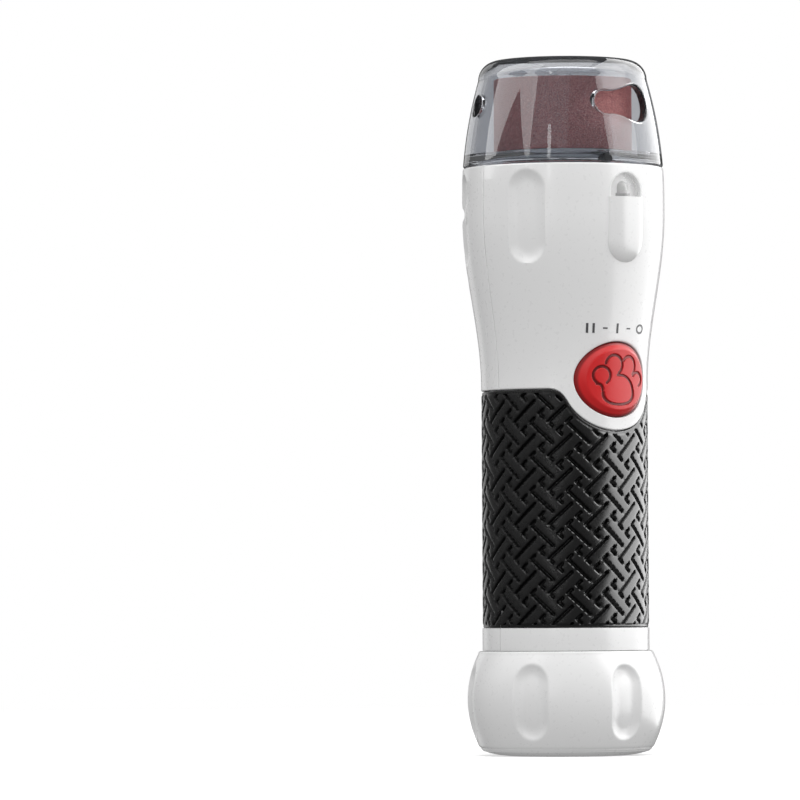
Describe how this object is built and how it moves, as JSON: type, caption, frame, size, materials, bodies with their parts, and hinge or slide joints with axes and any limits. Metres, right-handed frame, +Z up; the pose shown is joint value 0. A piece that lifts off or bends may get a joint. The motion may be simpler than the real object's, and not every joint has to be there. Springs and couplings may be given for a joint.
{
  "type": "pet nail trimmer",
  "caption": "Handheld battery nail grinder for pets, with a flared white housing, woven-relief rubber grip, push button, lamp, smoke-clear guard over a sanding drum and twist-off base cap.",
  "frame": {"origin": "on the long axis, at the flat bottom of the base cap that it stands on", "axes": "+Z up along the long axis to the guard, -Y towards the button, lamp and nail port, +X to the right seen from the button side"},
  "size_m": [0.0482, 0.0496, 0.165],
  "materials": {
    "white_plastic": "gloss",
    "grip_rubber": "satin",
    "clear_lens": "gloss",
    "lamp_resin": "gloss",
    "steel": "satin",
    "button_red": "satin",
    "black_plastic": "satin",
    "natural_plastic": "satin",
    "board_green": "satin",
    "cell_jacket": "satin",
    "brass": "satin",
    "seal_rubber": "matte",
    "motor_steel": "satin",
    "armature_iron": "satin",
    "copper": "satin",
    "magnet": "matte",
    "wire_red": "satin",
    "wire_black": "satin",
    "deck_plastic": "satin",
    "abrasive": "matte",
    "smoke_clear": "gloss"
  },
  "bodies": {
    "housing": {"front_shell": "white_plastic", "rear_shell": "white_plastic", "grip_sleeve": "grip_rubber", "lamp_lens": "clear_lens", "lamp": "lamp_resin", "housing_screw_1": "steel", "housing_screw_2": "steel", "housing_screw_3": "steel", "housing_screw_4": "steel", "switch_body": "black_plastic", "control_board": "board_green", "cell_lower": "cell_jacket", "cell_upper": "cell_jacket", "cell_cradle": "natural_plastic", "contact_strip": "brass", "top_contact": "brass", "cap_seal": "seal_rubber", "motor_can": "motor_steel", "motor_end_cap": "black_plastic", "motor_front_bush": "brass", "motor_rear_bush": "brass", "motor_magnet_left": "magnet", "motor_terminal_left": "brass", "motor_screw_left": "steel", "motor_wire_left": "wire_red", "lamp_wire_left": "wire_black", "motor_magnet_right": "magnet", "motor_terminal_right": "brass", "motor_screw_right": "steel", "motor_wire_right": "wire_black", "lamp_wire_right": "wire_red", "drum_deck": "deck_plastic", "guard_key": "black_plastic"},
    "drum": {"drum_hub": "black_plastic", "sanding_band": "abrasive", "drum_screw": "steel", "motor_shaft": "steel", "motor_armature": "armature_iron", "motor_commutator": "copper"},
    "guard": {"guard": "smoke_clear"},
    "button": {"push_button": "button_red", "switch_plunger": "natural_plastic"},
    "contact": {"contact_disc": "brass", "base_spring": "steel"},
    "base_cap": {"base_cap": "white_plastic"}
  },
  "joints": [
    {"name": "drum_spin", "type": "hinge", "parent": "housing", "child": "drum", "pos_m": [0, 0, 0.15], "axis": [0, 0, 1], "continuous": true},
    {"name": "guard_lift", "type": "slide", "parent": "housing", "child": "guard", "axis": [0, 0, 1], "range_m": [0, 0.03]},
    {"name": "button_press", "type": "slide", "parent": "housing", "child": "button", "axis": [0, 1, 0], "range_m": [0, 0.0006], "stiffness_N_per_m": 1500, "springref_m": -0.0003},
    {"name": "base_cap_travel", "type": "slide", "parent": "housing", "child": "contact", "axis": [0, 0, -1], "range_m": [0, 0.008]},
    {"name": "base_cap_twist", "type": "hinge", "parent": "contact", "child": "base_cap", "pos_m": [0, 0, 0.0125], "axis": [0, 0, -1], "range_deg": [0, 720]}
  ],
  "couplings": [
    {"joint": "base_cap_travel", "follows": "base_cap_twist", "m_per_rad": 0.0006366}
  ]
}
